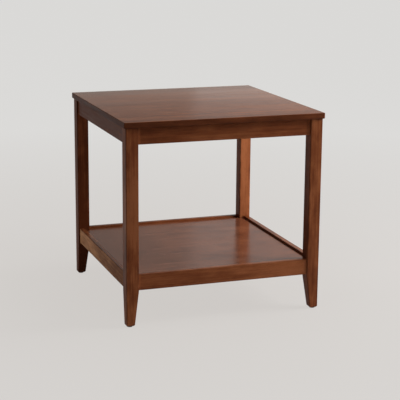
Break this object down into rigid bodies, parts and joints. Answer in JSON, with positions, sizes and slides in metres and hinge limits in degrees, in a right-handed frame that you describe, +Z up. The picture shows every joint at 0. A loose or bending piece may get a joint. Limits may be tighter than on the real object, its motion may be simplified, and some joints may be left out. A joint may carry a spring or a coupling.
{
  "type": "end table with shelf",
  "caption": "Square wooden end table with an overhanging top, aprons, tapered feet and a low shelf set inside four rails.",
  "frame": {"origin": "on the floor, under the middle of the top", "axes": "+X to the right along the front, +Y from the front to the back, +Z up"},
  "size_m": [0.572, 0.572, 0.56],
  "materials": {
    "top_veneer": "red-brown stained veneer under satin lacquer, grain along X",
    "shelf_veneer": "red-brown stained veneer under satin lacquer, grain along X",
    "leg_wood": "red-brown stained solid wood under satin lacquer, grain along the leg",
    "rail_wood": "red-brown stained solid wood under satin lacquer, grain along the run",
    "block_wood": "thinly stained inner wood, matt",
    "dowel_wood": "bare beech",
    "plated_steel": "zinc plated",
    "screw_steel": "yellow zinc plated",
    "glide_nylon": "dark brown nylon"
  },
  "bodies": {
    "root": {"top_panel": "top_veneer", "shelf_panel": "shelf_veneer", "leg_front_left": "leg_wood", "leg_front_right": "leg_wood", "leg_back_left": "leg_wood", "leg_back_right": "leg_wood", "apron_front": "rail_wood", "apron_right": "rail_wood", "apron_back": "rail_wood", "apron_left": "rail_wood", "rail_front": "rail_wood", "rail_right": "rail_wood", "rail_back": "rail_wood", "rail_left": "rail_wood", "cleat_front": "block_wood", "cleat_right": "block_wood", "cleat_back": "block_wood", "cleat_left": "block_wood", "corner_block_front_left": "block_wood", "corner_block_front_right": "block_wood", "corner_block_back_left": "block_wood", "corner_block_back_right": "block_wood", "apron_dowels": "dowel_wood", "rail_dowels": "dowel_wood", "hanger_bolts": "plated_steel", "hanger_washers": "plated_steel", "hanger_nuts": "plated_steel", "top_screws": "screw_steel", "block_screws": "screw_steel", "cleat_screws": "screw_steel", "shelf_screws": "screw_steel", "glide_nails": "plated_steel", "glide_front_left": "glide_nylon", "glide_front_right": "glide_nylon", "glide_back_left": "glide_nylon", "glide_back_right": "glide_nylon"}
  },
  "joints": []
}
